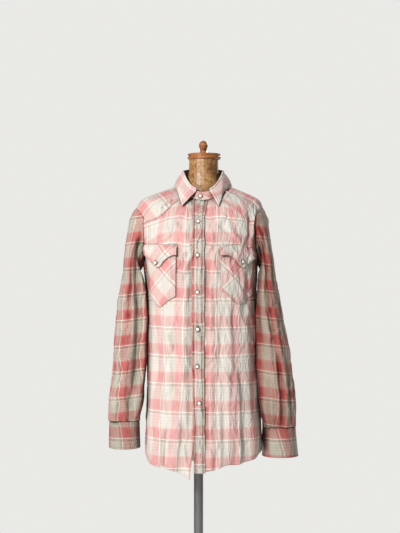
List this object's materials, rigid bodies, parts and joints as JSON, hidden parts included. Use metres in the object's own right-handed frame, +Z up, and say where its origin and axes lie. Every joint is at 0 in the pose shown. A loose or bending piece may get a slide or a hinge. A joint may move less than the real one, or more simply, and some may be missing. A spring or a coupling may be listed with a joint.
{
  "type": "western snap shirt on a limbless dress form",
  "caption": "Long-sleeved western snap shirt in dusty pink and grey plaid, with bias yokes and scalloped pocket flaps, worn by a limbless dress form on a grey pole with a round base.",
  "frame": {"origin": "middle of the base's flat underside, on the axis of the pole", "axes": "+Z up along the pole; the shirt's front faces -Y; +X is towards the viewer's right, the wearer's left"},
  "size_m": [0.47, 0.3, 1.5253],
  "materials": {
    "shirting": "washed crinkled cotton plaid, dusty pink and grey-beige",
    "bias_shirting": "the same plaid cotton cut on the bias",
    "snap": "pearl cap in a dark grey metal rim",
    "form_cover": "varnished golden brown paper, mottled with fine dark veins",
    "turned_wood": "varnished orange-brown turned wood",
    "pole_steel": "plain grey steel tube",
    "base_iron": "satin black cast iron"
  },
  "bodies": {
    "root": {"front_right": "shirting", "front_left": "shirting", "placket": "shirting", "back": "shirting", "collar_stand": "shirting", "collar": "shirting", "sleeve_right": "shirting", "sleeve_left": "shirting", "sleeve_placket_right": "shirting", "sleeve_placket_left": "shirting", "cuff_right": "shirting", "cuff_left": "shirting", "yoke_front_right": "bias_shirting", "yoke_front_left": "bias_shirting", "yoke_back": "bias_shirting", "pocket_right": "bias_shirting", "pocket_left": "bias_shirting", "flap_right": "bias_shirting", "flap_left": "bias_shirting", "snap_front_1": "snap", "snap_front_2": "snap", "snap_front_3": "snap", "snap_front_4": "snap", "snap_front_5": "snap", "snap_front_6": "snap", "snap_front_7": "snap", "snap_pocket_right": "snap", "snap_pocket_left": "snap", "snap_cuff_right_1": "snap", "snap_cuff_right_2": "snap", "snap_cuff_left_1": "snap", "snap_cuff_left_2": "snap", "form_torso": "form_cover", "form_cap": "turned_wood", "form_knob": "turned_wood", "form_plate": "turned_wood", "form_pole": "pole_steel", "form_base": "base_iron"}
  },
  "joints": []
}
